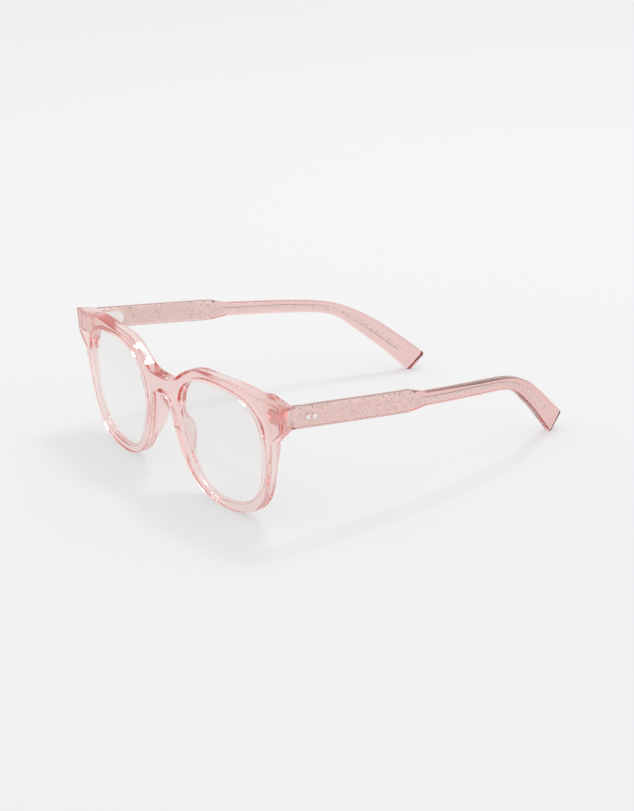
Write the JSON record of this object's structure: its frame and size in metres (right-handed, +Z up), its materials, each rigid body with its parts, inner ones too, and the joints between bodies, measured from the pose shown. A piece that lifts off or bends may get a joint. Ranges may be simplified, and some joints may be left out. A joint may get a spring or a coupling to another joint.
{
  "type": "blue light glasses",
  "caption": "Spectacles with a thick see-through pink front, clear lenses, built-in nose pads and metal-cored temples that fold in on small hinges.",
  "frame": {"origin": "on the surface the glasses stand on, below the middle of the bounding box", "axes": "+X towards the wearer's left, +Y back along the temples, +Z up; the lenses look towards -Y"},
  "size_m": [0.14, 0.1397, 0.0471],
  "materials": {
    "front_acetate": "polished clear acetate",
    "temple_acetate": "polished clear acetate",
    "lens": "clear with a reflection-reducing coating",
    "hinge_metal": "polished",
    "screw": "turned steel",
    "rivet": "polished",
    "core": "fine sand texture"
  },
  "bodies": {
    "front": {"frame_front": "front_acetate", "lens_left": "lens", "lens_right": "lens", "nose_pad_left": "front_acetate", "nose_pad_right": "front_acetate", "front_hinge_left": "hinge_metal", "front_hinge_right": "hinge_metal", "hinge_screw_left": "screw", "hinge_screw_right": "screw"},
    "left_arm": {"temple_left": "temple_acetate", "temple_core_left": "core", "temple_hinge_left": "hinge_metal", "temple_rivets_left": "rivet"},
    "right_arm": {"temple_right": "temple_acetate", "temple_core_right": "core", "temple_hinge_right": "hinge_metal", "temple_rivets_right": "rivet"}
  },
  "joints": [
    {"name": "left_fold", "type": "hinge", "parent": "front", "child": "left_arm", "pos_m": [0.06484, -0.05718, 0.03944], "axis": [0, 0.1144, 0.9934], "range_deg": [0, 79]},
    {"name": "right_fold", "type": "hinge", "parent": "front", "child": "right_arm", "pos_m": [-0.06484, -0.05718, 0.03944], "axis": [0, -0.1144, -0.9934], "range_deg": [0, 58]}
  ]
}
